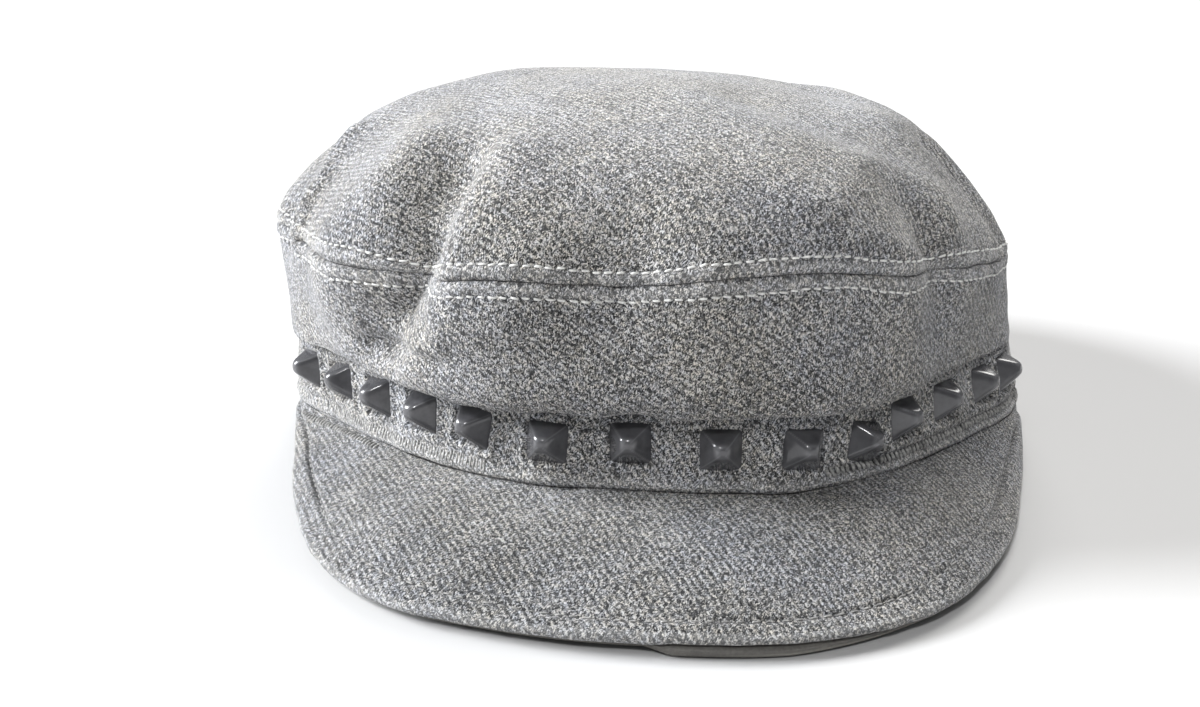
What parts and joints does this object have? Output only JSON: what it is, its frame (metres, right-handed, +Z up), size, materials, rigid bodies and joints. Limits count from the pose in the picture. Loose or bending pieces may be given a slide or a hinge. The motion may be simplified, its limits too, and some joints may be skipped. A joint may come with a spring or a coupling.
{
  "type": "peaked cloth cap with a studded band",
  "caption": "Soft domed cloth cap with a seamed crown, a studded band and a stiff cloth-covered peak, open below for the head.",
  "frame": {"origin": "on the surface that the cap stands on, under the middle of its box", "axes": "+Z up, front of the cap and its peak towards -Y, +X to the right of someone who looks at the front"},
  "size_m": [0.1872, 0.228, 0.0878],
  "materials": {
    "crown_cloth": "grey salt-and-pepper wool twill, matt",
    "band_cloth": "grey salt-and-pepper wool twill, matt",
    "peak_cloth": "grey salt-and-pepper wool twill, matt",
    "facing": "smooth dark grey under layer",
    "stud_metal": "glossy dark grey"
  },
  "bodies": {
    "root": {"crown_top": "crown_cloth", "crown_side": "crown_cloth", "band": "band_cloth", "peak": "peak_cloth", "peak_facing": "facing", "stud_01": "stud_metal", "stud_02": "stud_metal", "stud_03": "stud_metal", "stud_04": "stud_metal", "stud_05": "stud_metal", "stud_06": "stud_metal", "stud_07": "stud_metal", "stud_08": "stud_metal", "stud_09": "stud_metal", "stud_10": "stud_metal", "stud_11": "stud_metal", "stud_12": "stud_metal", "stud_13": "stud_metal", "stud_14": "stud_metal"}
  },
  "joints": []
}
